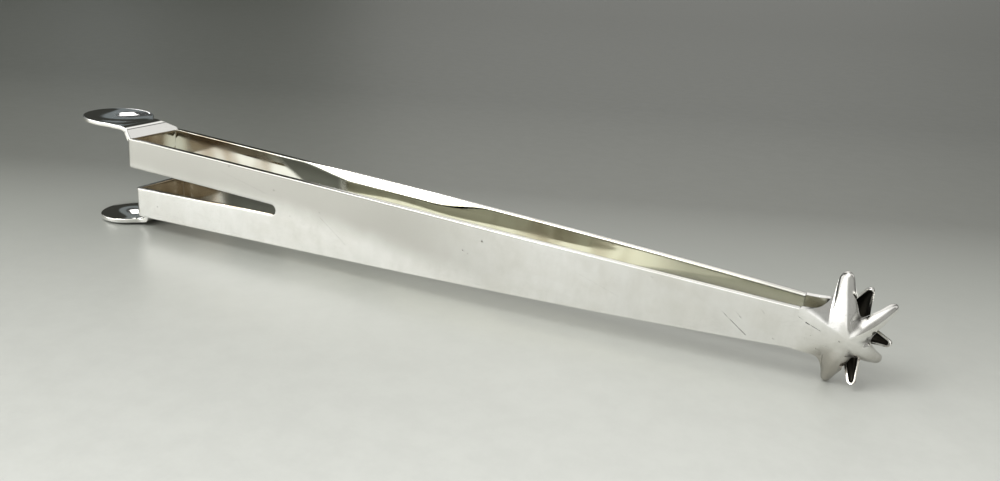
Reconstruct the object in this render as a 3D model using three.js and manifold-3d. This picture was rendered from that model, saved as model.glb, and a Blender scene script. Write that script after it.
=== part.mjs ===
// Bar tongs, made from one long silver strip bent into a square-ended U.
// The strip is slit along its middle at the bow, so the bow is two bands, one above the other.
// An ear is folded out from each band's outer edge, and each arm ends in a hollow star claw.
// X runs from the bow to the claws, Y across the two arms, Z up; lengths are in millimetres.

import * as THREE from 'three';
import { mergeVertices } from 'three/addons/utils/BufferGeometryUtils.js';
import Module from 'manifold-3d';

const wasm = await Module();
wasm.setup();

// Strip
const sheet = 1.5;
const armLength = 172; // bow to the roots of the claws
const bowHalfWidth = 8.66; // middle of the tongs to an arm's outer face, at the bow
const rootHalfWidth = 4.87; // the same at the roots of the claws
const armBulge = 1.1; // how far each arm springs outward from a straight line
const bowHalfHeight = 10.54;
const rootHalfHeight = 4.18;
const edgeCrown = 0.45;
const cornerRadius = 1.6; // outer corner of the bow
const bandReach = 5.2; // where a band ends along X
const flexGap = 0.3; // between a band's end and the arm that bends there

// Slit
const slitHalfAtBow = 2.74;
const slitHalfInside = 1.35;
const slitLength = 48.2;

// Bow bands
const upperReach = 1.2; // the upper band's end wall, beyond where the arms' lengths start
const lowerFace = 0.7; // the lower band's end wall, short of there
const upperLean = 0.4; // how far the upper end wall's lower edge leans outward

// Ears
const earSheet = 1;
const earBendRadius = 2.4; // outer side of the fold
const earLean = 0.5; // how far the neck leans outward before it folds
const dishDepth = 0.9;
const discProud = 0.34; // the discs' edges beyond the strip's outer faces
const neckInset = 0.36; // the upper neck's edges inside them
const upperEar = { reach: 13, rise: 2.95, tilt: 1.5, half: bowHalfWidth - neckInset, waist: 4.4 };
const lowerEar = { reach: 11.2, rise: 3.55, tilt: 1.8, half: 5.4, waist: 5.4 };

// Claws
const clawCentre = 9.3; // claw root to the middle of the star
const clawWall = 0.7;
const clawSag = 0.3; // how far the star's middle lies inside the root's outer face
const nearDownRay = { angle: -103.3, reach: 12.5, hook: 5.3, half: 4, tip: 0.85, sway: 0.2 };
const nearDipRay = { angle: -43.5, reach: 9.4, hook: 8.4, half: 3.6, tip: 1, sway: 0 };
const nearRiseRay = { angle: 37.8, reach: 9.9, hook: 8.9, half: 3.1, tip: 0.85, sway: 0 };
const nearUpRay = { angle: 102.5, reach: 12.3, hook: 5.3, half: 3.5, tip: 0.85, sway: -0.3 };
const farDownRay = { angle: -77, reach: 10.9, hook: 6, half: 3.2, tip: 0.7, sway: 0 };
const farLevelRay = { angle: 0, reach: 8.3, hook: 6, half: 3.2, tip: 0.75, sway: 0.3 };
const farUpRay = { angle: 77, reach: 10.9, hook: 6, half: 3.6, tip: 0.7, sway: -0.2 };
const archDepth = 2.6; // crest to rim, where a ray leaves the star's middle
const archDepthAtTip = 1;
const archPower = 1.7; // section of a ray: 1 is a roof with a sharp ridge, 2 is half round
const tipWallShare = 0.5; // how much of a ray's tip is left hollow
const rayFillet = 1.2; // how far apart in reach two rays start to run together
const rootFillet = 8; // the same for the root and the ray beside it

// Work values
const armStations = 24;
const clawRings = 8; // from the star's middle to its rim
const outlineCount = 112; // along a star's outline
const outlineTurns = 1200; // directions that the outline is first traced in
const overrun = 4; // how far cutters stand past what they cut
const deg = Math.PI / 180;
const quarterTurn = 90;
const discRadius = bowHalfWidth + discProud;
const rootTurn = Math.atan2(rootHalfHeight, -clawCentre) / deg; // star's middle to root's corner
const bulgePeak = 27 / 4; // makes t * t * (1 - t) peak at 1

const silver = { color: 0xd9d8d2, metalness: 1, roughness: 0.12 };

// Half-width of the tongs over the outer faces, at a distance x from the bow.
function halfWidth(x) {
  const t = x / armLength;
  return bowHalfWidth + (rootHalfWidth - bowHalfWidth) * t + armBulge * bulgePeak * t * t * (1 - t);
}

// Half-height of the strip: level over the bow's end walls, then tapering in a shallow crown.
function halfHeight(x) {
  const level = lowerFace + sheet;
  const t = Math.max(0, (x - level) / (armLength - level));
  return bowHalfHeight + (rootHalfHeight - bowHalfHeight) * t + edgeCrown * 4 * t * (1 - t);
}

// Half-height of the slit: a straight flare that opens toward the bow.
function slitHalf(x) {
  return slitHalfAtBow + (slitHalfInside - slitHalfAtBow) * (x / slitLength);
}

// Evenly spaced values from a to b, both included.
function steps(a, b, count) {
  return Array.from({ length: count + 1 }, (_, i) => a + ((b - a) * i) / count);
}

// A closed geometry as a solid that can be joined and cut.
function solid(geometry) {
  const bare = geometry.clone();
  bare.deleteAttribute('normal');
  bare.deleteAttribute('uv');
  const merged = mergeVertices(bare, sheet / 1e4);
  return new wasm.Manifold(new wasm.Mesh({
    numProp: 3,
    vertProperties: new Float32Array(merged.attributes.position.array),
    triVerts: new Uint32Array(merged.index.array),
  }));
}

// A solid as a named mesh.
function meshOf(name, body) {
  const result = body.getMesh();
  const geometry = new THREE.BufferGeometry();
  geometry.setAttribute('position', new THREE.BufferAttribute(result.vertProperties, 3));
  geometry.setIndex(new THREE.BufferAttribute(result.triVerts, 1));
  const material = new THREE.MeshStandardMaterial(silver);
  const mesh = new THREE.Mesh(geometry.toNonIndexed(), material);
  mesh.geometry.computeVertexNormals();
  mesh.name = name;
  return mesh;
}

// Plan outline (x, y) raised from z = low to z = high.
function raise(points, low, high) {
  const shape = new THREE.Shape(points.map(([x, y]) => new THREE.Vector2(x, y)));
  const geometry = new THREE.ExtrudeGeometry(shape, { depth: high - low, bevelEnabled: false });
  return geometry.translate(0, 0, low);
}

// Side outline (x, z) carried across from y = left to y = right.
function span(points, left, right) {
  const shape = new THREE.Shape(points.map(([x, z]) => new THREE.Vector2(x, z)));
  const geometry = new THREE.ExtrudeGeometry(shape, { depth: right - left, bevelEnabled: false });
  return geometry.rotateX(Math.PI / 2).translate(0, right, 0);
}

// Points of an arc about (cx, cy) between two angles in degrees.
function arc(cx, cy, radius, from, to, count) {
  return steps(from, to, count).map((a) => [
    cx + radius * Math.cos(a * deg),
    cy + radius * Math.sin(a * deg),
  ]);
}

// One tapering arm: its forked side outline crossed with its bowed plan outline.
// side is -1 for the near arm and 1 for the far one.
function arm(name, side) {
  const start = bandReach + flexGap;
  const along = steps(start, armLength, armStations);
  const slitEnd = slitLength - slitHalfInside;
  const sideOutline = [
    ...along.map((x) => [x, halfHeight(x)]),
    ...along.toReversed().map((x) => [x, -halfHeight(x)]),
    [start, -slitHalf(start)],
    ...arc(slitEnd, 0, slitHalfInside, -90, 90, 10),
    [start, slitHalf(start)],
  ];
  const planOutline = [
    ...along.map((x) => [x, side * halfWidth(x)]),
    ...along.toReversed().map((x) => [x, side * (halfWidth(x) - sheet)]),
  ];
  const width = bowHalfWidth + overrun;
  const height = bowHalfHeight + overrun;
  const profile = solid(span(sideOutline, -width, width));
  const plan = solid(raise(planOutline, -height, height));
  return meshOf(name, profile.intersect(plan));
}

// One band of the bow: a U in plan, trimmed to the strip's edge and the slit.
// side is 1 for the upper band and -1 for the lower one.
function bowBand(name, side, face, lean) {
  const end = bandReach + overrun;
  const inner = cornerRadius - sheet;
  const corner = (y, radius, from, to) => arc(face + cornerRadius, y, radius, from, to, 6);
  const atEnd = halfWidth(bandReach);
  const centre = bowHalfWidth - cornerRadius;
  const outline = [
    [end, -atEnd],
    ...corner(-centre, cornerRadius, 270, 180),
    ...corner(centre, cornerRadius, 180, 90),
    [end, atEnd],
    [end, atEnd - sheet],
    ...corner(centre, inner, 90, 180),
    ...corner(-centre, inner, 180, 270),
    [end, sheet - atEnd],
  ];
  const top = bowHalfHeight;
  const low = slitHalfAtBow;
  const wall = raise(outline, -top, top);
  const places = wall.attributes.position;
  for (let i = 0; i < places.count; i += 1) {
    const drop = (top - side * places.getZ(i)) / (top - low);
    places.setX(i, places.getX(i) - lean * drop);
  }
  const level = lowerFace + sheet;
  const reach = face - lean - overrun;
  const trim = [
    [reach, side * slitHalf(reach)],
    [bandReach, side * slitHalf(bandReach)],
    [bandReach, side * halfHeight(bandReach)],
    [level, side * top],
    [reach, side * top],
  ];
  const width = bowHalfWidth + overrun;
  return meshOf(name, solid(wall).intersect(solid(span(trim, -width, width))));
}

// A round dish turned about its own axis, with its rim's top at z = 0.
function dish() {
  const shares = steps(0, 1, 8);
  const top = shares.map((s) => new THREE.Vector2(discRadius * s, -dishDepth * (1 - s * s)));
  const under = top.toReversed().map((p) => new THREE.Vector2(p.x, p.y - earSheet));
  const profile = [...under.toReversed(), ...top.toReversed()];
  return solid(new THREE.LatheGeometry(profile, 48).rotateX(Math.PI / 2));
}

// One ear: a neck that stands on the band's edge, folds outward and carries the dished disc.
// It is made right way up for the upper band, and turned over for the lower one.
function ear(name, side, face, size) {
  const foldX = -earLean - earBendRadius;
  const foldZ = size.rise - earBendRadius;
  const innerRadius = earBendRadius - earSheet;
  const tilt = size.tilt * deg;
  const fold = (radius, from, to) => arc(foldX, foldZ, radius, from, to, 8);
  const outer = fold(earBendRadius, 0, quarterTurn - size.tilt);
  const inner = fold(innerRadius, quarterTurn - size.tilt, 0);
  const carriedOn = ([x, z]) => [x - Math.cos(tilt) * size.reach, z + Math.sin(tilt) * size.reach];
  const strip = [
    [0, 0],
    ...outer,
    carriedOn(outer.at(-1)),
    carriedOn(inner[0]),
    ...inner,
    [-earSheet, 0],
  ];
  const half = bowHalfWidth;
  const flare = foldX - earBendRadius;
  const neck = new THREE.Shape();
  neck.moveTo(sheet, -size.half);
  neck.lineTo(sheet, size.half);
  neck.lineTo(-earLean, size.half);
  neck.quadraticCurveTo(-earLean, size.waist, foldX, size.waist);
  neck.quadraticCurveTo(flare, size.waist, -size.reach, discRadius);
  neck.lineTo(-size.reach, -discRadius);
  neck.quadraticCurveTo(flare, -size.half, foldX, -size.half);
  const outline = neck.getPoints(8).map((p) => [p.x, p.y]);
  const plan = solid(raise(outline, -overrun, size.rise + overrun));
  const plate = solid(span(strip, -half - overrun, half + overrun)).intersect(plan);
  const [endX, endZ] = outer.at(-1);
  const centreZ = endZ + (size.reach + endX) * Math.tan(tilt);
  const seatDisc = (body) => body.rotate([0, size.tilt, 0]).translate([-size.reach, 0, centreZ]);
  const boreRadius = discRadius - earSheet;
  const bore = new THREE.CylinderGeometry(boreRadius, boreRadius, overrun * 2, 48);
  const body = plate.subtract(seatDisc(solid(bore.rotateX(Math.PI / 2)))).add(seatDisc(dish()));
  const placed = body.translate([face + earSheet, 0, bowHalfHeight]);
  return meshOf(name, side > 0 ? placed : placed.mirror([0, 0, 1]));
}

// Where a plan point lies across a ray: 0 on its ridge, 1 on its rim.
// inset moves the rim inward, for the inside of the sheet. The star's middle is the origin.
function rimShare(ray, x, z, inset) {
  const along = x * Math.cos(ray.angle * deg) + z * Math.sin(ray.angle * deg);
  const across = x * Math.sin(ray.angle * deg) - z * Math.cos(ray.angle * deg);
  const half = ray.half - inset;
  const tip = inset > 0 ? ray.tip * tipWallShare : ray.tip;
  if (along < 0) {
    return Math.hypot(along, across) / half;
  }
  const share = Math.min(1, along / ray.reach);
  const ridge = ray.sway * 4 * share * (1 - share);
  const late = Math.max(0, along - ray.reach + ray.tip) / tip;
  return Math.hypot((across - ridge) / (half + (tip - half) * share), late);
}

// A ray's reach in one direction, found by halving.
function rayReach(ray, turn, inset) {
  let low = 0;
  let high = 2 * ray.reach;
  for (let i = 0; i < 30; i += 1) {
    const middle = (low + high) / 2;
    const x = middle * Math.cos(turn * deg);
    const z = middle * Math.sin(turn * deg);
    if (rimShare(ray, x, z, inset) < 1) {
      low = middle;
    } else {
      high = middle;
    }
  }
  return low;
}

// The larger of two reaches, with a fillet where they come near each other.
function filleted(a, b, fillet) {
  const near = Math.max(0, fillet - Math.abs(a - b));
  return Math.max(a, b) + (near * near) / (4 * fillet);
}

// A star's plan outline: around its rays from one corner of the root to the other, then along
// the root's end.
function starOutline(rays, inset) {
  const corner = new THREE.Vector2(-clawCentre, rootHalfHeight);
  const points = steps(-rootTurn, rootTurn, outlineTurns).slice(1, -1).map((turn) => {
    const reaches = rays.map((ray) => rayReach(ray, turn, inset));
    const star = reaches.reduce((a, b) => filleted(a, b, rayFillet));
    const plate = Math.abs(turn) > quarterTurn ? rootHalfHeight / Math.sin(Math.abs(turn) * deg) : 0;
    const reach = filleted(star, plate, rootFillet);
    return new THREE.Vector2(reach * Math.cos(turn * deg), reach * Math.sin(turn * deg));
  });
  const low = new THREE.Vector2(corner.x, -corner.y);
  const around = new THREE.Path().setFromPoints([low, ...points, corner]);
  const end = steps(1, -1, 6).slice(1, -1).map((s) => new THREE.Vector2(corner.x, s * corner.y));
  return [...around.getSpacedPoints(outlineCount), ...end];
}

// The sheet of one ray over a plan point: arched across, and hooked inward as a parabola.
function onRay(ray, x, z, wall) {
  const radial = new THREE.Vector3(Math.cos(ray.angle * deg), 0, Math.sin(ray.angle * deg));
  const along = x * radial.x + z * radial.z;
  const across = x * radial.z - z * radial.x;
  const share = Math.min(1, Math.max(0, along / ray.reach));
  const depth = archDepth + (archDepthAtTip - archDepth) * share;
  const toRim = Math.min(1, rimShare(ray, x, z, wall));
  const level = (1 - toRim ** archPower) ** (1 / archPower);
  const arch = depth - (depth - wall) * level;
  const slope = Math.atan((2 * ray.hook * share) / ray.reach);
  const out = along - arch * Math.sin(slope);
  const inward = ray.hook * share * share + arch * Math.cos(slope);
  return new THREE.Vector3(
    out * radial.x + across * radial.z,
    inward,
    out * radial.z - across * radial.x,
  );
}

// The root's flat sheet over a plan point, as thick as the arm where it meets it.
function onRoot(x, z, wall) {
  const share = Math.max(0, -x / clawCentre);
  const thickness = wall > 0 ? wall + (sheet - wall) * share : 0;
  return new THREE.Vector3(x, thickness - clawSag * share * share, z);
}

// The star's sheet over a plan point: each ray runs over into its neighbour, and the outermost
// ones into the root. wall = 0 gives the outer skin, clawWall the inner one.
function onStar(rays, x, z, wall) {
  const turn = Math.atan2(z, x) / deg;
  const sheets = [
    { angle: -rootTurn, at: onRoot(x, z, wall) },
    ...rays.map((ray) => ({ angle: ray.angle, at: onRay(ray, x, z, wall) })),
    { angle: rootTurn, at: onRoot(x, z, wall) },
  ];
  const next = sheets.findIndex((one) => one.angle > turn);
  if (next < 1) {
    return sheets[0].at;
  }
  const [here, there] = sheets.slice(next - 1, next + 1);
  const share = THREE.MathUtils.smoothstep(turn, here.angle, there.angle);
  return here.at.lerp(there.at, share);
}

// One claw: an outer and an inner skin, each as rings that shrink to the star's middle, joined
// along the rim. side is -1 for the near claw and 1 for the far one.
function claw(name, side, rays) {
  const shares = steps(0, quarterTurn, clawRings).slice(1).map((a) => Math.sin(a * deg));
  const skin = (wall) => {
    const rim = starOutline(rays, wall);
    return shares.map((s) => rim.map((p) => onStar(rays, s * p.x, s * p.y, wall)));
  };
  const rings = [...skin(0), ...skin(clawWall).toReversed()];
  const shell = loft(rings, onStar(rays, 0, 0, 0), onStar(rays, 0, 0, clawWall));
  const crest = halfWidth(armLength) - clawSag;
  const body = solid(shell).translate([armLength + clawCentre, -crest, 0]);
  return meshOf(name, side < 0 ? body : body.mirror([0, 1, 0]));
}

// Loft through closed rings of equal length, closed by a fan about a point at either end.
function loft(rings, start, finish) {
  const n = rings[0].length;
  const points = [...rings.flat(), start, finish];
  const last = (rings.length - 1) * n;
  const faces = [];
  for (let i = 0; i < n; i += 1) {
    const j = (i + 1) % n;
    for (let k = 0; k < last; k += n) {
      faces.push(k + i, k + i + n, k + j, k + j, k + i + n, k + j + n);
    }
    faces.push(last + n, i, j, last + n + 1, last + j, last + i);
  }
  const geometry = new THREE.BufferGeometry();
  const flat = points.flatMap((p) => [p.x, p.y, p.z]);
  geometry.setAttribute('position', new THREE.Float32BufferAttribute(flat, 3));
  geometry.setIndex(faces);
  return geometry;
}

const tongs = new THREE.Group();
tongs.add(bowBand('upper_bow_band', 1, -upperReach, upperLean));
tongs.add(bowBand('lower_bow_band', -1, lowerFace, 0));
tongs.add(ear('upper_ear', 1, -upperReach, upperEar));
tongs.add(ear('lower_ear', -1, lowerFace, lowerEar));
tongs.add(arm('near_arm', -1));
tongs.add(arm('far_arm', 1));
tongs.add(claw('near_claw', -1, [nearDownRay, nearDipRay, nearRiseRay, nearUpRay]));
tongs.add(claw('far_claw', 1, [farDownRay, farLevelRay, farUpRay]));

// The origin is the bottom centre of the whole part's box.
const box = new THREE.Box3().setFromObject(tongs);
const middle = box.getCenter(new THREE.Vector3());
tongs.children.forEach((mesh) => mesh.geometry.translate(-middle.x, -middle.y, -box.min.z));

export default tongs;
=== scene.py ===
"""Bar tongs of polished silver: one long slit strip bent into a square-ended U, two dished ears
at the bow and two hollow star claws at the tips, on a plain pale floor."""

import bmesh
import bpy
import numpy as np
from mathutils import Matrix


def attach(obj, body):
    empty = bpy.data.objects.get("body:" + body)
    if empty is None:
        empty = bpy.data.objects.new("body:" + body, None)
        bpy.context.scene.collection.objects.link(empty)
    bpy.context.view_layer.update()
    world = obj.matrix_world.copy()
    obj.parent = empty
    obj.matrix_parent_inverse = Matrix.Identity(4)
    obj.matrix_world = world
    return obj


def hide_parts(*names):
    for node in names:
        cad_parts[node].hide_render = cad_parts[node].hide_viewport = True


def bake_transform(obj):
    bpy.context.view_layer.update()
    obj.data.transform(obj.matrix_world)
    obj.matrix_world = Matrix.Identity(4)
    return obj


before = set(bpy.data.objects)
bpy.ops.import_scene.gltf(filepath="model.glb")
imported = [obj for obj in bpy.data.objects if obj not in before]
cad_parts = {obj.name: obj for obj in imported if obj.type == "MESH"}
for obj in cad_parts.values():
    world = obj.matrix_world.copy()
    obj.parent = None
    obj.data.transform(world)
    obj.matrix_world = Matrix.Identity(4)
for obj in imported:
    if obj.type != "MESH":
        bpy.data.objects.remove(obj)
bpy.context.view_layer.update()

# ---- Camera -------------------------------------------------------------------------------
# A 31 mm lens on a 36 mm wide sensor, level with the claws along the arms, 17 cm out from the
# tongs and 8 cm up, turned toward the bow.
camera = bpy.data.objects.new("camera", bpy.data.cameras.new("camera"))
bpy.context.scene.collection.objects.link(camera)
bpy.context.scene.camera = camera
camera.location = (0.102215, -0.167817, 0.081770)
camera.rotation_euler = np.radians((70.7367, -3.6699, 26.6672))
camera.data.lens = 31.36
camera.data.sensor_width = 36
camera.data.clip_start = 0.01
camera.data.clip_end = 40
bpy.context.scene.view_settings.view_transform = "Standard"

# ---- Bow: the two bands of the strip --------------------------------------------------------
# The real tongs are one strip of silver 1.5 mm thick, slit along its middle and bent square
# round the end, so the bow is an upper and a lower band. Each is a flat section with rounded
# edges, carried round a U in plan.
sheet = 1.5
arm_length = 172
bow_half_width, root_half_width, arm_bulge = 8.66, 4.87, 1.1
bow_half_height, root_half_height, edge_crown = 10.54, 4.18, 0.45
corner_radius = 1.6
band_reach = 5.2
slit_half_at_bow, slit_half_inside, slit_length = 2.74, 1.35, 48.2
upper_face, upper_lean, lower_face = -1.2, 0.4, 0.7
edge_radius = 0.18
bulge_peak = 27 / 4  # makes t * t * (1 - t) peak at 1
origin_x, origin_drop = 83.4035, 14.6347  # row origin: along from the bow, below the middle
weld, sliver = 1e-6, 1e-7  # in metres: points this near are one, faces this thin are none


def in_row(x, y, z):
    """Millimetres from the bow's middle, x along the arms, as metres in the row frame."""
    return np.stack(np.broadcast_arrays(x - origin_x, y, z + origin_drop), -1) / 1000


def half_width(x):
    """Middle of the tongs to an arm's outer face: a straight taper plus one long outward
    spring, t * t * (1 - t), in t = x / arm_length."""
    t = x / arm_length
    taper = (root_half_width - bow_half_width) * t
    return bow_half_width + taper + arm_bulge * bulge_peak * t * t * (1 - t)


def half_height(x):
    """Half the strip's height: level over the end wall, then a taper in a shallow parabola."""
    level = lower_face + sheet
    t = np.maximum(0, (x - level) / (arm_length - level))
    taper = (root_half_height - bow_half_height) * t
    return bow_half_height + taper + edge_crown * 4 * t * (1 - t)


def slit_half(x):
    """Half the slit's height: a straight flare toward the bow."""
    return slit_half_at_bow + (slit_half_inside - slit_half_at_bow) * x / slit_length


def edge_rows(radius, count=5):
    """A sheet's edge from its outer to its inner skin, as how far each row stands out past
    the skins, the skin it belongs to (0 outer, 1 inner) and its depth below that skin: a
    quarter turn, a flat, and a quarter turn."""
    turn = np.linspace(0, np.pi / 2, count)
    out, deep = radius * np.sin(turn), radius * (1 - np.cos(turn))
    skin = np.repeat((0.0, 1.0), count)
    return np.r_[out, out[::-1]], skin, np.r_[deep, -deep[::-1]]


def closed_mesh(name, grids, skins, rings=()):
    """A smooth mesh from grids of points (rows, columns, 3) and flat end rings (points, 3):
    neighbours are joined where their points meet, and all faces are turned outward. skins
    gives each grid's share of the inner skin, 0 to 1, kept as the attribute "inside"."""
    points, faces, flat, inside = [], [], [], []
    count = 0
    for grid, skin in zip(grids, skins):
        rows, columns = grid.shape[:2]
        index = count + np.arange(rows * columns).reshape(rows, columns)
        quads = np.stack([index[:-1, :-1], index[1:, :-1], index[1:, 1:], index[:-1, 1:]], -1)
        points.append(grid.reshape(-1, 3))
        inside.append(np.broadcast_to(skin, (rows, columns)).ravel())
        faces += quads.reshape(-1, 4).tolist()
        count += rows * columns
    for ring in rings:
        points.append(ring)
        inside.append(np.zeros(len(ring)))
        flat.append(len(faces))
        faces.append(list(range(count, count + len(ring))))
        count += len(ring)
    mesh = bpy.data.meshes.new(name)
    mesh.from_pydata(np.concatenate(points).tolist(), [], faces)
    share = mesh.attributes.new("inside", "FLOAT", "POINT")
    share.data.foreach_set("value", np.concatenate(inside).astype(np.float32))
    smooth = np.ones(len(faces), bool)
    smooth[flat] = False
    mesh.polygons.foreach_set("use_smooth", smooth)
    work = bmesh.new()
    work.from_mesh(mesh)
    bmesh.ops.remove_doubles(work, verts=work.verts, dist=weld)
    bmesh.ops.dissolve_degenerate(work, edges=work.edges, dist=sliver)
    bmesh.ops.recalc_face_normals(work, faces=work.faces)
    for face in work.faces:
        for line in face.edges if not face.smooth else ():
            line.smooth = False
    work.to_mesh(mesh)
    work.free()
    piece = bpy.data.objects.new(name, mesh)
    bpy.context.scene.collection.objects.link(piece)
    return piece


def band(name, side, face, lean, heights=15, wall_steps=9, corner_steps=13, prong_steps=7):
    """One band. Its section is a loop of heights between the slit and the strip's edge and of
    depths in the sheet; its plan is half of the end wall, the corner's quarter turn and the
    start of an arm, mirrored in y."""
    out, skin, deep = edge_rows(edge_radius)
    rows = np.linspace(0, 1, heights)
    share = np.r_[rows, np.ones(len(out)), rows[::-1], np.zeros(len(out))]
    inset = edge_radius * (1 - 2 * rows)
    shift = np.r_[inset, out - edge_radius, inset[::-1], edge_radius - out]
    depth = np.r_[0 * rows, skin * sheet + deep, sheet + 0 * rows, (skin * sheet + deep)[::-1]]
    wall, prong = np.linspace(0, 1, wall_steps), np.linspace(0, 1, prong_steps)
    corner = np.linspace(0, np.pi / 2, corner_steps)
    lean_at = face - lean * (1 - share)
    centre = half_width(face + corner_radius) - corner_radius
    depth, lean_at = depth[None], lean_at[None]
    radius = corner_radius - depth
    wall_x, wall_y = lean_at + depth + 0 * wall[:, None], centre * wall[:, None] + 0 * depth
    turn = corner[1:, None]
    corner_x = lean_at + corner_radius - radius * np.cos(turn)
    corner_y = centre + radius * np.sin(turn)
    start = lean_at + corner_radius
    prong_x = start + (band_reach - start) * prong[1:, None]
    prong_y = half_width(prong_x) - depth + 0 * prong_x
    x = np.concatenate([wall_x, corner_x, prong_x])
    y = np.concatenate([wall_y, corner_y, prong_y])
    bottom, top = slit_half(x), half_height(x)
    z = bottom + (top - bottom) * share + shift
    half = in_row(x, y, side * z)
    other = in_row(x, -y, side * z)
    whole = np.concatenate([other[:0:-1], half])
    whole = np.concatenate([whole, whole[:, :1]], 1)
    inner = np.r_[0 * rows, skin, 1 + 0 * rows, skin[::-1], 0]
    return closed_mesh(name, [whole], [inner], [whole[0, :-1], whole[-1, :-1]])


upper_band = band("upper_band", 1, upper_face, upper_lean)
lower_band = band("lower_band", -1, lower_face, 0)


class Wire:
    """A node's output socket. Arithmetic on it adds Math nodes."""

    def __init__(self, finish, socket):
        self.finish, self.socket = finish, socket

    def math(self, operation, *values, clamp=False):
        settings = {"operation": operation, "use_clamp": clamp}
        return self.finish.node("ShaderNodeMath", settings, dict(enumerate(values)))

    def __add__(self, other):
        return self.math("ADD", self, other)

    def __sub__(self, other):
        return self.math("SUBTRACT", self, other)

    def __rsub__(self, other):
        return self.math("SUBTRACT", other, self)

    def __mul__(self, other):
        return self.math("MULTIPLY", self, other)

    def __truediv__(self, other):
        return self.math("DIVIDE", self, other)

    def __pow__(self, other):
        return self.math("POWER", self, other)

    def __abs__(self):
        return self.math("ABSOLUTE", self)

    __radd__, __rmul__ = __add__, __mul__


class Finish:
    """The node tree of a material or of the world."""

    def __init__(self, owner):
        owner.use_nodes = True
        self.owner, self.tree = owner, owner.node_tree
        self.tree.nodes.clear()

    def node(self, kind, settings=None, inputs=None, output=0):
        """Adds a node: first its settings, such as an operation or a ramp's stops, then its
        sockets' values and links. Gives the wire that leaves it."""
        made = self.tree.nodes.new(kind)
        for name, value in (settings or {}).items():
            if name == "stops":
                ramp = made.color_ramp.elements
                for _ in value[2:]:
                    ramp.new(0.5)
                for stop, (place, colour) in zip(ramp, value):
                    stop.position, stop.color = place, (*colour, 1)
            else:
                setattr(made, name, value)
        for key, value in (inputs or {}).items():
            if isinstance(value, Wire):
                self.tree.links.new(value.socket, made.inputs[key])
            else:
                made.inputs[key].default_value = value
        return Wire(self, made.outputs[output]) if made.outputs else made

    def place(self, scale=(1, 1, 1), turn=(0, 0, 0)):
        """Object coordinates, stretched and turned."""
        here = self.node("ShaderNodeTexCoord", output=3)
        sizes = {"Vector": here, "Scale": scale, "Rotation": np.radians(turn)}
        return self.node("ShaderNodeMapping", {"vector_type": "POINT"}, sizes)

    def noise(self, scale, detail=3, rough=0.5, stretch=(1, 1, 1), turn=(0, 0, 0), warp=0):
        """Noise with features 1 / scale metres apart, longer along the axes that stretch makes
        small."""
        sizes = {"Vector": self.place(stretch, turn), "Scale": scale, "Detail": detail}
        sizes |= {"Roughness": rough, "Distortion": warp}
        return self.node("ShaderNodeTexNoise", inputs=sizes)

    def step(self, value, low, high, to_low=0.0, to_high=1.0):
        """A smooth step of a value from low to high."""
        settings = {"interpolation_type": "SMOOTHSTEP"}
        sizes = {0: value, 1: low, 2: high, 3: to_low, 4: to_high}
        return self.node("ShaderNodeMapRange", settings, sizes)

    def contour(self, value, width):
        """Thin lines along the middle contour of a noise."""
        return self.step(abs(value - 0.5), 0, width, 1, 0)

    def stroke(self, across, up, start, end, width):
        """1 on a straight stroke between two points, and 0 beyond its width: the distance to
        the nearest point of the stroke, which is the foot of a perpendicular or an end."""
        run, rise = end[0] - start[0], end[1] - start[1]
        from_x, from_z = across - start[0], up - start[1]
        along = from_x * run + from_z * rise
        along = along.math("DIVIDE", along, run * run + rise * rise, clamp=True)
        off = (from_x - along * run) ** 2 + (from_z - along * rise) ** 2
        return self.step(off**0.5, width * 0.4, width, 1, 0)

    def mix(self, share, first, second):
        """A colour between two colours, which are the Mix node's inputs 6 and 7."""
        colours = [one if isinstance(one, Wire) else (*one, 1) for one in (first, second)]
        sizes = {0: share, 6: colours[0], 7: colours[1]}
        return self.node("ShaderNodeMix", {"data_type": "RGBA"}, sizes, output=2)


clean_silver, cloudy_silver = (0.965, 0.96, 0.945), (0.72, 0.69, 0.62)
hazy_silver, hairline_grey = (0.62, 0.60, 0.55), (0.50, 0.49, 0.46)
# First, the grey of painted shade on inner skins; then the colour of dirt.
painted_inner_shade_grey, dirt = (0.17, 0.175, 0.15), (0.045, 0.04, 0.035)
relief_height = 0.00004


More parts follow.
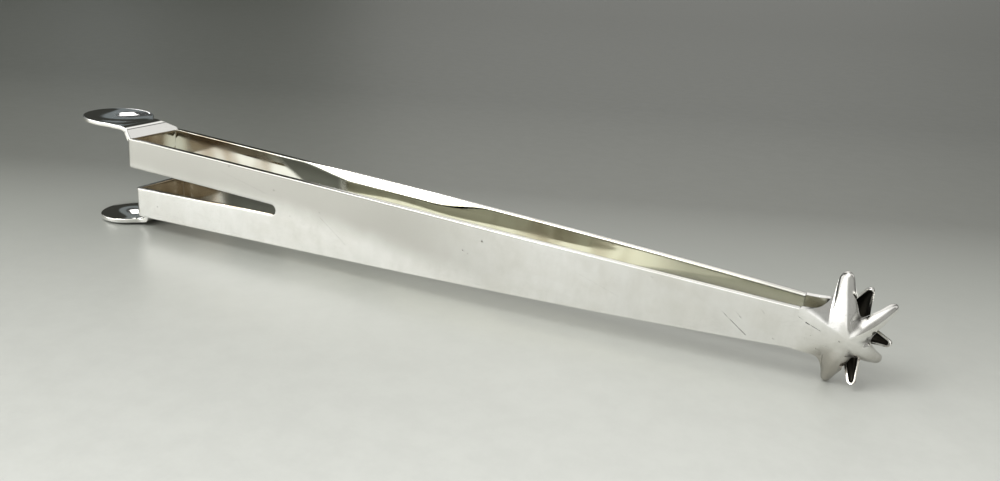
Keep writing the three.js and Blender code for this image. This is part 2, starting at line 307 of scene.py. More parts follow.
def silver(name, polish, inner_polish, mottle, inner_tone, patina_and_hollow_shade, gather, pits, scratches=(),
           haze_and_shade=None, haze_and_shade_tone=(0.58, 0.57, 0.535)):
    """Polished silver in use. The outer skin is satin with wear: soft mottling, hairlines that
    follow the contours of a stretched noise, a few pits and the scratches that are given as
    (start, end, width, darkness) over x and z. The inner skin turns from its own tone to a
    second tone in clouds, which gather says: the noise's two limits, two places along x, and
    what is added to the noise before the first place and past the second. That second tone is
    patina on the strip and the ears, and near-black painted shade in the stars' hollows. A
    function of (finish, x, y, z) gives how far a grey haze and painted shade lie over the outer
    skin, and how far painted shade lies over the inner skin. Dirt fills the pits, the scratches
    and what the attribute "crevice" marks."""
    finish = Finish(bpy.data.materials.new(name))
    inside = finish.node("ShaderNodeAttribute", {"attribute_name": "inside"}, output=2)
    here = finish.place()
    x, y, z = (finish.node("ShaderNodeSeparateXYZ", inputs={0: here}, output=axis)
               for axis in range(3))
    outside = 1 - inside
    clouds = finish.step(finish.noise(70, 5, 0.62, (1, 1, 1.6), warp=0.4), 0.32, 0.72)
    fine = finish.step(finish.noise(420, 3, 0.6, (1, 1, 0.5)), 0.3, 0.75)
    lines = finish.contour(finish.noise(60, 2, 0.5, (1, 2, 14)), 0.010)
    lines = lines + finish.contour(finish.noise(75, 2, 0.5, (1, 2, 12), (0, 31, 0)), 0.008)
    lines = lines + finish.contour(finish.noise(70, 2, 0.5, (12, 2, 1), (0, -14, 0)), 0.008)
    lines = lines * finish.step(finish.noise(90, 3, 0.5), 0.42, 0.7)
    cells = {"Vector": finish.place(), "Scale": 240}
    holes = finish.node("ShaderNodeTexVoronoi", {"distance": "EUCLIDEAN"}, cells)
    holes = finish.step(holes, 0.04, 0.1, 1, 0) * finish.step(finish.noise(85, 2), 0.58, 0.62)
    holes = holes * pits
    crevice = finish.node("ShaderNodeAttribute", {"attribute_name": "crevice"}, output=2)
    outer_haze_and_shade, inner_painted_shade = haze_and_shade(finish, x, y, z) if haze_and_shade else (0.0, 0.0)
    broken = finish.step(finish.noise(1500, 2, 0.6), 0.36, 0.56, 0.15, 1)
    for start, end, width, dark in scratches:
        stroke = finish.stroke(x, z, start, end, width) * finish.step(y, -0.003, 0, dark, 0)
        stroke = stroke * broken
        holes = holes.math("MAXIMUM", holes, stroke * outside)
    outer = finish.mix(clouds * mottle, clean_silver, cloudy_silver)
    outer = finish.mix(fine * mottle * 0.55, outer, hazy_silver)
    outer = finish.mix(lines * 0.22, outer, hairline_grey)
    # A grey haze and painted shade over the outer skin.
    outer = finish.mix(outer_haze_and_shade, outer, haze_and_shade_tone)
    # Patina on the strip and the ears; near-black painted shade in the stars' hollows.
    patina_and_shade_clouds = finish.noise(75, 2, 0.5, (1, 1, 0.6))
    low, high, *raised = gather
    patina_and_shade_clouds = finish.step(patina_and_shade_clouds + finish.step(x, *raised), low, high)
    inner = finish.mix(patina_and_shade_clouds, inner_tone, patina_and_hollow_shade)
    # Painted shade: a dark grey over parts of the inner skin.
    inner = finish.mix(inner_painted_shade, inner, painted_inner_shade_grey)
    base = finish.mix(inside, outer, inner)
    base = finish.mix(holes + crevice * 0.85, base, dirt)
    rough = (polish + clouds * 0.05 + lines * 0.08) * outside
    rough = rough + (patina_and_shade_clouds * 0.12 + inner_polish) * inside + holes * 0.3 + crevice * 0.3
    rough = rough + inside * inner_painted_shade * 0.3
    relief = finish.noise(38, 1, 0.4) * 0.5 + lines * -0.012 * outside + holes * -0.15
    bump = {"Strength": 1.0, "Distance": relief_height, "Height": relief}
    normal = finish.node("ShaderNodeBump", inputs=bump)
    sizes = {"Base Color": base, "Metallic": 1.0, "Roughness": rough, "Normal": normal}
    shader = finish.node("ShaderNodeBsdfPrincipled", inputs=sizes)
    finish.node("ShaderNodeOutputMaterial", inputs={"Surface": shader})
    return finish.owner


def on_face(x, z):
    """A place on a face in the row frame, from millimetres along the arms and up."""
    return tuple(in_row(x, 0, z)[[0, 2]].tolist())


def on_outer_face(rows):
    """Scratches from rows of (start, end, width, darkness), with places in millimetres along
    the arms and up from their middle, and widths in metres."""
    return [(on_face(*start), on_face(*end), width, dark) for start, end, width, dark in rows]


strip_scratches = on_outer_face((
    ((158.0, 0.3), (163.1, -3.5), 0.00011, 0.75), ((160.6, 0.9), (161.9, -0.3), 0.00009, 0.7),
    ((165.3, 2.4), (165.9, 1.7), 0.00008, 0.3), ((168.2, -3.0), (168.5, -3.2), 0.00014, 0.6),
    ((61.8, 0.9), (69.1, -4.4), 0.00008, 0.35), ((100.4, 1.1), (100.9, 0.9), 0.00012, 0.6),
    ((101.6, 0.6), (101.9, 0.5), 0.00012, 0.5), ((52.6, -0.5), (53.0, -0.5), 0.00013, 0.6),
    ((31.0, 7.2), (45.5, 3.9), 0.00006, 0.25), ((128.0, 1.6), (137.0, -1.4), 0.00005, 0.2),
    ((8.5, -6.5), (8.8, -6.7), 0.00016, 0.5), ((143.2, 4.4), (143.5, 4.3), 0.00012, 0.5),
    ((61.5, 2.2), (62.0, 1.8), 0.00014, 0.45), ((151.0, -4.9), (151.4, -5.0), 0.00012, 0.5)))


def strip_haze_and_shade(finish, x, y, z):
    """Outside, painted shade: a grey haze over the upper half from the bow to the middle, which
    stands in for the darker reflection there; and a thin haze near the claw. Inside, painted
    shade: a dark layer on the far arm past the bow, from a slanting line on and along the slit,
    and a thin one below another slanting line near the claw."""
    along, up = x * 1000 + origin_x, z * 1000 - origin_drop
    uneven = finish.noise(40, 3, 0.55) - 0.5
    fall = along - 45
    fall = fall.math("MAXIMUM", fall, 0) * 0.12
    # Painted shade over the upper half of the outer face, then a thin haze near the claw.
    outer = finish.step(up + fall + uneven * 6, -1.5, 5.5)
    outer = outer * finish.step(along, 80, 125, 0.95, 0.05)
    outer = outer + finish.step(along + uneven * 40, 125, 165, 0, 0.17)
    # Painted shade on the inner faces.
    upper = finish.step(up * 1.64 + along + uneven * 4, 49.5, 52.5) * finish.step(up, 2, 3)
    lower = finish.step(up, 2, 3, 1, 0) * finish.step(along + uneven * 8, 14, 22)
    lower = lower * finish.step(along, 36, 40, 1, 0)
    flat = finish.step(up + finish.step(along, 44, 60, 0, 2.3), 9.0, 9.4, 1, 0)
    upper = upper * flat * finish.step(along, 56, 61, 1, 0)
    inner = (upper + lower) * finish.step(y, -0.001, 0.001)
    end = finish.step(along * 0.108 - up + uneven, 12.75, 13.45) * finish.step(along, 132, 143)
    return outer, inner + end * 0.3


strip_silver = silver("strip_silver", polish=0.13, inner_polish=0.03, mottle=0.36,
                      inner_tone=(0.97, 0.962, 0.885), patina_and_hollow_shade=(0.50, 0.42, 0.32),
                      gather=(0.46, 0.74, -0.085, -0.030, 0.22, -0.12), pits=0.5,
                      scratches=strip_scratches, haze_and_shade=strip_haze_and_shade)
for piece, node in ((upper_band, "upper_bow_band"), (lower_band, "lower_bow_band")):
    piece.data.materials.append(strip_silver)
    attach(piece, "bow")
    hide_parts(node)

# ---- Arms -----------------------------------------------------------------------------------
# The rest of the same strip: two prongs that run on from the bands, join past the round end of
# the slit and taper to the claw. The hammered sheet isn't quite flat. The real arms bend just in
# front of the bow.
wave = 0.035
wave_starts_over, wave_ends_over = 20, 15
swells = (1, 9.7, 0.35, 1), (0.8, 5.3, -0.22, 2)  # height, run along x, slant in z, shift by side
edge_width, edge_starts = 0.35, (20, 45)
facet_width, facet_slope, facet_starts, facet_ends = 2.0, 0.29, (44, 60), (85, 100)
inner_lean, lean_starts, lean_ends = np.tan(np.radians(2.2)), (62, 95), (122, 152)
lean_above, lean_below_edge = 2, 1.4
facet_softness, lean_softness, lean_edge_softness = 0.08, 1.5, 0.6
bend_end = 26  # where along x an arm has wholly turned to its own side
plain_rows, facet_rows, facet_rows_from = 11, 28, 0.7


def eased(value, low, high):
    """A smooth step of a value from low to high: t * t * (3 - 2 * t)."""
    share = np.clip((value - low) / (high - low), 0, 1)
    return share * share * (3 - 2 * share)


def beyond(value, soft):
    """How far a value is above 0, with a soft corner there: half of itself plus a hyperbola."""
    return (value + np.hypot(value, soft)) / 2


def softened(side, x, z):
    """How much thinner the far arm is than its sheet. A band in the upper half of its inner
    face leans back, and its upper edge is filed to a slanting facet. Both come and go as
    smooth steps of x, but the facet stays narrow instead of ending. Each meets the face beside
    it in a soft corner."""
    edge = eased(x, *edge_starts)
    wide = facet_width * eased(x, *facet_starts) * (1 - eased(x, *facet_ends)) + edge_width * edge
    past_edge = z - half_height(x)
    over = beyond(past_edge + wide, facet_softness)
    lean = beyond(z - lean_above, lean_softness)
    lean = lean - beyond(past_edge + lean_below_edge, lean_edge_softness)
    lean = inner_lean * eased(x, *lean_starts) * (1 - eased(x, *lean_ends)) * lean
    return (side > 0) * (edge * facet_slope * over + lean)


def on_arm(side, x, z, depth):
    """A point of an arm: x along it, z up, depth in from its outer face. The face waves by
    sines of x and z that fade out at the bow and the claw."""
    t = x / arm_length
    slope = (root_half_width - bow_half_width) / arm_length
    slope = slope + arm_bulge * bulge_peak * (2 * t - 3 * t * t) / arm_length
    length = np.hypot(1, slope)
    depth = depth - (depth > sheet / 2) * softened(side, x, z)
    ends = np.clip((x - band_reach) / wave_starts_over, 0, 1)
    ends = ends * np.clip((arm_length - x) / wave_ends_over, 0, 1)
    swell = sum(high * np.sin(x / run + slant * z + shift * side)
                for high, run, slant, shift in swells)
    y = half_width(x) - depth / length - wave * (1 + 0.5 * swell) * ends
    return in_row(x + depth * slope / length, side * y, z)


def arm(name, side, slit_steps=36, turn_steps=13, whole_steps=90):
    """One arm from grids over (x, z): for the upper and the lower prong an outer skin, an
    inner skin, the long edge, and the slit's edge as far as the slit runs. The rows lie closer
    near the long edge, where the facet is."""
    out, skin, deep = edge_rows(edge_radius)
    depth = skin * sheet + deep
    centre = slit_length - slit_half_inside
    straight = np.linspace(band_reach, centre, slit_steps)[:-1]
    turn = np.linspace(0, np.pi / 2, turn_steps)
    radius = slit_half_inside + edge_radius
    first = slit_half(band_reach)
    slope = (slit_half_inside - first) / (centre - band_reach)
    flare = first + slope * (straight - band_reach) + edge_radius
    end = centre + radius
    past_slit = end + (arm_length - end) * np.linspace(0, 1, whole_steps)[1:]
    x = np.r_[straight, centre + radius * np.sin(turn), past_slit]
    low = np.r_[flare, radius * np.cos(turn), 0 * past_slit]
    low[len(straight) + len(turn) - 1] = 0
    high = half_height(x) - edge_radius
    share = np.r_[np.linspace(0, facet_rows_from, plain_rows),
                  np.linspace(facet_rows_from, 1, facet_rows)[1:]]
    z = low[:, None] + (high - low)[:, None] * share
    slit_x, slit_z = x[: len(straight) + len(turn)], low[: len(straight) + len(turn)]
    lean = np.r_[np.arctan(-slope) + 0 * straight, turn]
    toward_x, toward_z = -np.sin(lean), -np.cos(lean)
    grids = []
    for up in (1, -1):
        grids.append(on_arm(side, x[:, None], up * z, 0))
        grids.append(on_arm(side, x[:, None], up * z, sheet))
        grids.append(on_arm(side, x[:, None], up * (high[:, None] + out), depth))
        edge_x = slit_x[:, None] + toward_x[:, None] * out
        edge_z = slit_z[:, None] + toward_z[:, None] * out
        edge_x[0] = slit_x[0]
        grids.append(on_arm(side, edge_x, up * edge_z, depth))
    skins = [0, 1, skin, skin] * 2
    bow_ends = [np.concatenate([a[0], c[0], b[0, ::-1], d[0, ::-1]])
                for a, b, c, d in (grids[:4], grids[4:])]
    upper, inner, edge, _ = (grid[-1] for grid in grids[:4])
    lower, lower_inner, lower_edge, _ = (grid[-1] for grid in grids[4:])
    claw_end = [lower[::-1], upper, edge, inner[::-1], lower_inner, lower_edge[::-1]]
    return closed_mesh(name, grids, skins, [*bow_ends, np.concatenate(claw_end)])


for name, side, body, node in (("near_arm_strip", -1, "near_side", "near_arm"),
                               ("far_arm_strip", 1, "far_side", "far_arm")):
    piece = arm(name, side)
    piece.data.materials.append(strip_silver)
    start, end = in_row(np.array((band_reach, bend_end)), 0, 0)
    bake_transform(piece)
    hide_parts(node)

# ---- Ears -----------------------------------------------------------------------------------
# Two thumb rests of thinner silver. Each stands on its band's edge as a short neck, folds
# outward and spreads into a shallow dish, raised over a stake and polished.
ear_sheet = 1.1
disc_radius = 9.0
dish_depth = 0.9
fold_radius = 2.4
ear_lean = 0.5
neck_lean, crease_lean = np.radians((27, 72))
neck_bends = (0.38, 0.60), (0.60, 1.0)
ear_inset, foot_depth = 1.0, 0.2  # an ear's x = 0 within its band's face; its foot in the edge
waist_start, waist_power = 0.12, 1.3
neck_fillet, fillet_fade, rim_room = 1.6, 4, 0.005
rim_softness, dish_softness_at_neck = 0.01, 0.25
bend_steps, fold_rounds = 399, 20
neck_steps, across_steps, disc_steps, neck_crowding = 61, 57, 41, 1.15


def ear(name, side, face, reach, rise, tilt, half, waists):
    """One ear as a grid over (u, v). u runs from the foot up the leaning neck, over the crease
    and out along the tilted disc; the neck's angle is two smooth steps of u, a short one for
    the crease and a long one beyond it. The disc's far half follows the square-to-disc map
    u * sqrt(1 - v * v / 2). The dish sinks as 1 - r * r, eased at its rim and most at the neck."""
    slope = np.radians(tilt)
    level = rise + (reach - ear_lean - fold_radius) * np.tan(slope)
    turn_share = np.linspace(0, 1, bend_steps + 1)
    crease, rest = (eased(turn_share, low, high) for low, high in neck_bends)
    turn = neck_lean + (crease_lean - neck_lean) * crease
    turn = turn + (np.pi / 2 - slope - crease_lean) * rest
    step = (turn[1:] + turn[:-1]) / 2
    across = np.r_[0, np.cumsum(np.sin(step))] / bend_steps
    upward = np.r_[0, np.cumsum(np.cos(step))] / bend_steps
    foot_x, foot_z = sheet - ear_inset, -foot_depth
    fold = 5.0  # the neck's length over the bend, brought to the height that the disc needs
    for _ in range(fold_rounds):
        fold_end = foot_x - fold * across[-1]
        goal = level + (-reach - fold_end) * np.tan(slope) - foot_z
        fold = goal / upward[-1]
    centre = fold + (reach + fold_end) / np.cos(slope)

    def at(u, v, skin, deep):
        share = np.clip(u / fold, 0, 1)
        lean = np.interp(share, turn_share, turn)
        past = np.maximum(0, u - fold)
        x = foot_x - fold * np.interp(share, turn_share, across) - past * np.cos(slope)
        z = foot_z + fold * np.interp(share, turn_share, upward) + past * np.sin(slope)
        bowl = 1 - ((u - centre) ** 2 + v**2) / disc_radius**2
        toward_neck = np.clip((centre - u) / disc_radius, 0, 1) ** 2
        softness = rim_softness + dish_softness_at_neck * toward_neck
        bowl = dish_depth * (bowl + np.sqrt(bowl**2 + softness)) / 2
        bowl = bowl * share**2
        thickness = sheet + (ear_sheet - sheet) * share**2 * (3 - 2 * share)
        inward = bowl + skin * thickness + deep
        x = x - np.cos(lean) * inward
        z = z - np.sin(lean) * inward
        return in_row(x + face + ear_inset, v, side * (z + bow_half_height))

    def neck_half(u, waist, flare):
        """Half-width of the neck over u: the foot's, easing to the waist in the fold and out
        again to the disc, whose circle takes over where it is wider."""
        share = np.clip(u / fold, 0, 1)
        x = foot_x - fold * np.interp(share, turn_share, across) - np.maximum(0, u - fold)
        into = np.clip((share - waist_start) / (neck_bends[0][1] - waist_start), 0, 1)
        neck = waist + (half - waist) * (1 - into) ** waist_power
        run = np.clip((-ear_lean - fold_radius - x) / (reach - ear_lean - fold_radius), 0, 1)
        neck = neck + (flare - waist) * run**2
        circle = np.sqrt(np.maximum(0, disc_radius**2 - (centre - u) ** 2))
        gap = np.maximum(0, neck_fillet - np.abs(neck - circle))
        fillet = gap**2 / (4 * neck_fillet) * np.clip((centre - u) / fillet_fade, 0, 1)
        return np.minimum(np.maximum(neck, circle) + fillet, disc_radius - rim_room)

    radius = edge_radius
    u = centre * (1 - (1 - np.linspace(0, 1, neck_steps)) ** neck_crowding)
    v = np.linspace(-1, 1, across_steps)
    near, far = (neck_half(u, waist, disc_radius) - radius for waist in waists)
    near[-1] = far[-1] = disc_radius - radius
    neck_v = -near[:, None] + (near + far)[:, None] * (v + 1) / 2
    neck_u = u[:, None] + 0 * neck_v
    p = np.sin(np.linspace(0, np.pi / 2, disc_steps))[1:, None]
    disc_u = centre + (disc_radius - radius) * p * np.sqrt(1 - v**2 / 2)
    disc_v = (disc_radius - radius) * v * np.sqrt(1 - p**2 / 2)
    grid_u, grid_v = np.concatenate([neck_u, disc_u]), np.concatenate([neck_v, disc_v])
    rim = [np.r_[grid[:-1, 0], grid[-1, :-1], grid[::-1, -1]] for grid in (grid_u, grid_v)]
    run_u, run_v = np.gradient(rim[0]), np.gradient(rim[1])
    length = np.hypot(run_u, run_v)
    out_u, out_v = run_v / length, -run_u / length
    out_u[[0, -1]], out_v[[0, -1]] = 0, (-1, 1)
    out, skin, deep = edge_rows(radius)
    rim_u = rim[0][:, None] + out_u[:, None] * out
    rim_v = rim[1][:, None] + out_v[:, None] * out
    top, under = at(grid_u, grid_v, 0, 0), at(grid_u, grid_v, 1, 0)
    edge = at(rim_u, rim_v, skin, deep)
    foot = np.concatenate([top[0], edge[-1], under[0, ::-1], edge[0, ::-1]])
    return closed_mesh(name, [top, under, edge], [0, 1, skin], [foot])


ear_silver = silver("ear_silver", polish=0.03, inner_polish=0.05, mottle=0.05,
                    inner_tone=(0.94, 0.93, 0.88), patina_and_hollow_shade=(0.5, 0.44, 0.33),
                    gather=(0.6, 0.85, -0.1, 0.1, 0, 0), pits=0.2)
upper = ear("upper_thumb_rest", 1, upper_face, reach=13, rise=2.95, tilt=1.5, half=8.3,
            waists=(8.3, 4.4))
lower = ear("lower_thumb_rest", -1, lower_face, reach=11.2, rise=3.55, tilt=1.8, half=5.4,
            waists=(5.4, 5.4))
for piece, node in ((upper, "upper_ear"), (lower, "lower_ear")):
    piece.data.materials.append(ear_silver)
    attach(piece, "bow")
    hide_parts(node)

# ---- Claws ----------------------------------------------------------------------------------
# Two hollow stars, cast and chased, each soldered to an arm: four rays on the near one, three
# on the far one, which pass between each other. Each is one sheet, with the same formula for
# its outer and its inner skin.
claw_centre, claw_wall, claw_sag = 9.3, 0.7, 0.3
arch_depth, arch_depth_at_tip, arch_power = 2.6, 1.0, 1.7
tip_wall_share, ray_fillet, root_fillet = 0.5, 1.2, 8.0
root_turn = np.arctan2(root_half_height, -claw_centre)
root_roll, roll_limit, lip_radius, least_lip = 0.45, 1.4, 0.16, 0.002
crevice_width, crevice_from, crevice_to, crevice_fade = 9, 1.8, 8, 2

# Each ray's angle, reach, hook, half-width, half-width at the tip, and its ridge's sway.
near_rays = ((-103.3, 12.5, 5.3, 4.0, 0.85, 0.2), (-43.5, 9.4, 8.4, 3.6, 1.0, 0.0),
             (37.8, 9.9, 8.9, 3.1, 0.9, 0.0), (102.5, 12.3, 5.3, 3.5, 1.2, -0.3))
far_rays = ((-77, 10.9, 6.0, 3.2, 0.7, 0.0), (0, 8.26, 6.0, 3.2, 0.75, 0.3),
            (77, 10.9, 6.0, 3.6, 0.7, -0.2))


def rim_share(ray, x, z, inset):
    """0 on a ray's ridge, 1 on its rim: how far across it a point lies, over its half-width
    there, which tapers evenly to a round tip."""
    turn, reach, _, half, tip, sway = ray
    cos, sin = np.cos(np.radians(turn)), np.sin(np.radians(turn))
    along, across = x * cos + z * sin, x * sin - z * cos
    half = half - inset
    narrow = tip * tip_wall_share if inset else tip
    share = np.clip(along / reach, 0, 1)
    ridge = sway * 4 * share * (1 - share)
    late = np.maximum(0, along - reach + tip) / narrow
    forward = np.hypot((across - ridge) / (half + (narrow - half) * share), late)
    return np.where(along < 0, np.hypot(along, across) / half, forward)


def filleted(a, b, fillet):
    """The larger of two reaches, with a fillet where they come near each other."""
    return np.maximum(a, b) + np.maximum(0, fillet - np.abs(a - b)) ** 2 / (4 * fillet)


def star_outline(rays, inset, count=420, directions=4000, halvings=34, end_count=16):
    """A star's outline about its middle: the largest reach of its rays in each direction, found
    by halving, then the straight sides and the end of its root, evenly spaced."""
    turn = np.linspace(-root_turn, root_turn, directions)[1:-1]
    cos, sin = np.cos(turn), np.sin(turn)
    reach = None
    for ray in rays:
        low, high = 0 * turn, 0 * turn + 2 * ray[1]
        for _ in range(halvings):
            middle = (low + high) / 2
            inside = rim_share(ray, middle * cos, middle * sin, inset) < 1
            low, high = np.where(inside, middle, low), np.where(inside, high, middle)
        reach = low if reach is None else filleted(reach, low, ray_fillet)
    plate = np.where(cos < 0, root_half_height / np.maximum(1e-6, np.abs(sin)), 0)
    reach = filleted(reach, plate, root_fillet)
    x = np.r_[-claw_centre, reach * cos, -claw_centre]
    z = np.r_[-root_half_height, reach * sin, root_half_height]
    run = np.r_[0, np.cumsum(np.hypot(np.diff(x), np.diff(z)))]
    even = np.linspace(0, run[-1], count)
    end = root_half_height * np.linspace(1, -1, end_count)[1:-1]
    x, z = np.interp(even, run, x), np.interp(even, run, z)
    return np.r_[x, -claw_centre + 0 * end], np.r_[z, end]


def on_star(rays, x, z, wall):
    """The star's sheet over a plan point. A ray is arched across as a superellipse and hooks
    inward as a parabola; the root thickens to the arm's sheet, and its edges roll inward as
    the fourth power of z, evening out toward the arm. Between two neighbours, the sheet turns
    from one to the other as a smooth step of the angle."""
    back = np.maximum(0, -x / claw_centre)
    thickness = wall + (sheet - wall) * back if wall else 0 * back
    roll = np.minimum(roll_limit, np.abs(z) / root_half_height) ** 4
    roll = root_roll * roll * (1 - back**2)
    root = np.stack([x, thickness - claw_sag * back**2 + roll, z], -1)
    sheets = [(-root_turn, root)]
    for ray in rays:
        turn, reach, hook = np.radians(ray[0]), *ray[1:3]
        along = x * np.cos(turn) + z * np.sin(turn)
        across = x * np.sin(turn) - z * np.cos(turn)
        share = np.clip(along / reach, 0, 1)
        depth = arch_depth + (arch_depth_at_tip - arch_depth) * share
        to_rim = np.minimum(1, rim_share(ray, x, z, wall))
        level = (1 - to_rim**arch_power) ** (1 / arch_power)
        arch = depth - (depth - wall) * level
        slope = np.arctan(2 * hook * share / reach)
        out = along - arch * np.sin(slope)
        inward = hook * share**2 + arch * np.cos(slope)
        ray_x = out * np.cos(turn) + across * np.sin(turn)
        ray_z = out * np.sin(turn) - across * np.cos(turn)
        sheets.append((turn, np.stack([ray_x, inward, ray_z], -1)))
    sheets.append((root_turn, root))
    turn = np.arctan2(z, x)
    result = root
    for (here, first), (there, second) in zip(sheets, sheets[1:]):
        share = eased(turn, here, there)[..., None]
        between = ((turn >= here) & (turn <= there))[..., None]
        result = np.where(between, first + (second - first) * share, result)
    return result


def rounded(before, corner, after, radius, count=5):
    """Rings that round a corner ring: from the ring before it to the one after it, each point
    on the parabola that leaves one side a radius before the corner and meets the other."""
    def toward(other):
        way = other - corner
        length = np.linalg.norm(way, axis=-1, keepdims=True)
        return corner + way * np.minimum(0.5, radius / np.maximum(length, 1e-9))

    start, end = toward(before), toward(after)
    return [(1 - t) ** 2 * start + 2 * t * (1 - t) * corner + t * t * end
            for t in np.linspace(0, 1, count)]


def mark_crevices(piece, rays):
    """Dirt where two rays part: an attribute that fades as a bell of the angle from the line
    midway between them, and in and out again with the distance from the star's middle."""
    places = np.empty(len(piece.data.vertices) * 3)
    piece.data.vertices.foreach_get("co", places)
    places = places.reshape(-1, 3) * 1000 - in_row(arm_length + claw_centre, 0, 0) * 1000
    turn = np.degrees(np.arctan2(places[:, 2], places[:, 0]))
    reach = np.hypot(places[:, 2], places[:, 0])
    depth = 0 * turn
    for (low, *_), (high, *_) in zip(rays, rays[1:]):
        off = (turn - (low + high) / 2) / crevice_width
        depth = np.maximum(depth, np.exp(-(off**2)))
    depth = depth * np.clip((reach - crevice_from) / crevice_fade, 0, 1)
    depth = depth * np.clip((crevice_to - reach) / crevice_fade, 0, 1)
    share = piece.data.attributes.new("crevice", "FLOAT", "POINT")
    share.data.foreach_set("value", depth.astype(np.float32))


claw_scratches = on_outer_face((
    ((170.1, 3.6), (171.2, 3.0), 0.00013, 0.8), ((171.5, 2.9), (173.0, 2.1), 0.00009, 0.6),
    ((173.6, 1.7), (174.3, 1.4), 0.00016, 0.85), ((174.6, 1.3), (176.4, 0.6), 0.00010, 0.7),
    ((170.0, 3.9), (170.3, 3.5), 0.00018, 0.7), ((172.4, -5.0), (173.2, -6.2), 0.00012, 0.6),
    ((180.0, -0.6), (180.2, -0.7), 0.00018, 0.6), ((176.2, -3.3), (176.4, -3.4), 0.00014, 0.5)))


def claw(name, side, rays, rings=30):
    """One claw: rings of both skins from the star's middle to its rim and back, over the
    rounded lip between them, which sharpens to nothing at the root."""
    shares = np.sin(np.linspace(0, np.pi / 2, rings + 1))
    skins = []
    for wall in (0, claw_wall):
        x, z = star_outline(rays, wall)
        skins.append([on_star(rays, s * x, s * z, wall) for s in shares])
    outer, inner = skins
    radius = lip_radius * np.clip(outer[-1][:, :1] + claw_centre, least_lip, 1)
    lip = rounded(outer[-2], outer[-1], inner[-1], radius)
    lip += rounded(outer[-1], inner[-1], inner[-2], radius)
    points = np.stack([*outer[:-1], *lip, *inner[-2::-1]])
    points = np.concatenate([points, points[:, :1]], 1)
    # The inner skin's finish comes in over three rows, from the lip's last but one.
    inside = np.clip((np.arange(len(points)) - rings - len(lip) + 2) / 3, 0, 1)[:, None]
    y = -(half_width(arm_length) - claw_sag) + points[..., 1]
    placed = in_row(points[..., 0] + arm_length + claw_centre, -side * y, points[..., 2])
    return closed_mesh(name, [placed], [inside])


def claw_haze_and_shade(finish, x, y, z):
    """Outside, a grey haze in patches on the lower part, and painted shade that darkens the lower
    rays. Nothing inside.
    """
    up = z * 1000 - origin_drop
    patches = finish.noise(150, 5, 0.65) - 0.5
    # Painted shade: the lower rays darkened below a ragged line.
    low = finish.step(up + patches * 10, -8, 1, 1, 0) * finish.step(x, 0.0885, 0.0955)
    worn = finish.step(up + patches * 6, 0, 5, 1, 0)
    return low * 0.7 + (finish.step(patches, 0.02, 0.2) * 0.25 + 0.12) * worn, 0.0


# Inside, the stars turn near black toward their fronts: painted shade in their hollows.
claw_silver = silver("claw_silver", polish=0.15, inner_polish=0.2, mottle=0.42,
                     inner_tone=(0.62, 0.60, 0.52), patina_and_hollow_shade=(0.03, 0.027, 0.022),
                     gather=(0.35, 0.6, 0.0905, 0.0945, -0.4, 0.4), pits=1.0,
                     scratches=claw_scratches, haze_and_shade=claw_haze_and_shade, haze_and_shade_tone=(0.40, 0.375, 0.33))
for name, side, rays, body, node in (("near_star", -1, near_rays, "near_side", "near_claw"),
                                     ("far_star", 1, far_rays, "far_side", "far_claw")):
    piece = claw(name, side, rays)
    mark_crevices(piece, rays)
    piece.data.materials.append(claw_silver)
    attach(piece, body)
    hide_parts(node)

# ---- Studio ---------------------------------------------------------------------------------
# A plain pale satin floor, coloured with painted shade that darkens it behind the tongs. The
# real ones rest nose down by a degree, so the floor here slopes up toward the claws. One soft
# lamp hangs front left.
floor_mesh = bpy.data.meshes.new("floor")
floor_reach = 12
floor_slope = np.tan(np.radians(0.92))
level_at, clearance = -0.0894, 0.00005  # where the floor is nearly at z = 0, and how far below
square = floor_reach * np.array(((-1, -1), (1, -1), (1, 1), (-1, 1)))
corners = [(x, y, (x - level_at) * floor_slope - clearance) for x, y in square.tolist()]
floor_mesh.from_pydata(corners, [], [(0, 1, 2, 3)])
floor = bpy.data.objects.new("floor", floor_mesh)
bpy.context.scene.collection.objects.link(floor)
paper = Finish(bpy.data.materials.new("satin_paper"))
away_from_camera, shade_offset = (-0.35, 0.9035, 0), 0.1955
away = paper.node("ShaderNodeVectorMath", {"operation": "DOT_PRODUCT"},
                  {0: paper.place(), 1: away_from_camera}, 1) + shade_offset
# Painted shade: the floor's colour darkens with the distance away from the camera.
painted_shade_tones = ((0.11, (0.62, 0.63, 0.60)), (0.17, (0.47, 0.48, 0.45)), (0.215, (0.33, 0.34, 0.315)),
         (0.28, (0.15, 0.155, 0.14)), (0.45, (0.088, 0.093, 0.083)), (1.0, (0.066, 0.071, 0.061)))
tone = paper.node("ShaderNodeValToRGB", {"stops": painted_shade_tones}, {0: away})
flecks = paper.step(paper.noise(160, 6, 0.7), 0.3, 0.7, 0, 0.09)
tone = paper.mix(flecks, tone, (0.25, 0.25, 0.24))
grain = paper.node("ShaderNodeBump", inputs={
    "Strength": 0.4, "Distance": 0.00005, "Height": paper.noise(900, 4, 0.6)})
sizes = {"Base Color": tone, "Roughness": 0.4, "Specular IOR Level": 0.38, "Normal": grain}
paper.node("ShaderNodeOutputMaterial", inputs={
    "Surface": paper.node("ShaderNodeBsdfPrincipled", inputs=sizes)})
floor_mesh.materials.append(paper.owner)

# The lamp faces the row frame's origin, under the tongs' middle.
lamp_place = np.array((-0.50, -0.70, 0.95))
softbox = bpy.data.lights.new("key", "AREA")
softbox.shape = "RECTANGLE"
softbox.size, softbox.size_y = 0.5, 0.4
softbox.energy, softbox.color = 6.6, (1, 1, 0.99)
holder = bpy.data.objects.new("key", softbox)
holder.location = lamp_place
out_x, out_y, up = lamp_place
holder.rotation_euler = (np.arctan2(np.hypot(out_x, out_y), up), 0,
                         np.arctan2(-out_y, -out_x) - np.pi / 2)
bpy.context.scene.collection.objects.link(holder)

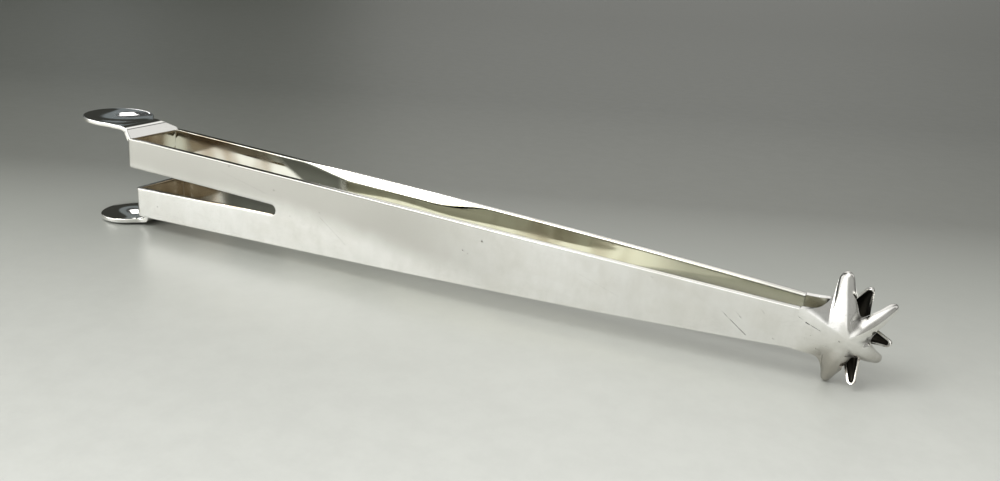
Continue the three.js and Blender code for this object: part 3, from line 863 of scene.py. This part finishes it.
# The room, as a sky over turn, the degrees to the left of the doorway behind the bow, and
# height, the degrees above the horizon: a wall to the left, brighter walls in front with a low
# window, walls behind and to the right, shade to the front right, and a pale ceiling. The
# doorway is dark, with two ovals, one in the other, and a lamp in their middle.
world = Finish(bpy.data.worlds.new("studio"))
bpy.context.scene.world = world.owner
sky = world.node("ShaderNodeTexCoord", output=0)
doorway, degree = np.radians(139.5), float(np.degrees(1))


def facing(direction):
    """How far the sky's direction lies along another, as their dot product."""
    sizes = {0: sky, 1: direction}
    return world.node("ShaderNodeVectorMath", {"operation": "DOT_PRODUCT"}, sizes, 1)


def between(value, rise, fall):
    """1 between two places, with a smooth step up over rise and one down over fall."""
    return world.step(value, *rise) * world.step(value, *fall, 1, 0)


ahead = facing((np.cos(doorway), np.sin(doorway), 0))
aside = facing((-np.sin(doorway), np.cos(doorway), 0))
turn = ahead.math("ARCTAN2", aside, ahead) * degree
height = facing((0, 0, 1))
height = height.math("ARCSINE", height) * degree
left = between(turn, (18, 23), (50, 70)) * world.step(height, 12, 18)
front = between(turn, (50, 70), (140, 165))
window = between(turn, (58, 72), (88, 118)) * between(height, (3, 9), (24, 34))
back = between(turn, (-80, -38), (-16, -11))
side = between(turn, (-112, -102), (-84, -74))
back = back.math("MAXIMUM", back, side * 0.78)
shade = world.step(abs(turn), 95, 135) * (1 - front)
lamp = world.step(abs(turn - 1.1), 1.0, 1.3, 1, 0)
lamp = lamp * world.step(abs(height - 23.5), 3.2, 3.7, 1, 0)
oval = (((turn - 1.4) / 3.6) ** 2 + ((height - 22) / 12) ** 2) ** 0.5
glow = world.mix(left, (0.04, 0.041, 0.036), (0.95, 0.95, 0.92))
glow = world.mix(shade * world.step(height, -3, 8), glow, (0.38, 0.38, 0.36))
glow = world.mix(front * world.step(height, -3, 3), glow, (1.15, 1.15, 1.12))
glow = world.mix(window, glow, (4.4, 4.4, 4.25))
glow = world.mix(back * world.step(height, 8, 16), glow, (0.95, 0.94, 0.91))
ceiling = world.mix(front, (0.95, 0.95, 0.93), (1.35, 1.35, 1.31))
behind_bow = world.step(abs(turn - 3), 12, 20, 1, 0)
glow = world.mix(world.step(height - behind_bow * 12, 54, 66), glow, ceiling)
glow = world.mix(world.step(height, 62, 72), glow, (1.6, 1.6, 1.56))
glow = world.mix(world.step(oval, 0.95, 1.1, 1, 0), glow, (0.17, 0.19, 0.195))
glow = world.mix(world.step(oval, 0.5, 0.62, 1, 0), glow, (0.07, 0.073, 0.073))
glow = world.mix(lamp, glow, (3, 3, 3))
world.node("ShaderNodeOutputWorld", inputs={
    "Surface": world.node("ShaderNodeBackground", inputs={"Color": glow, "Strength": 1.0})})
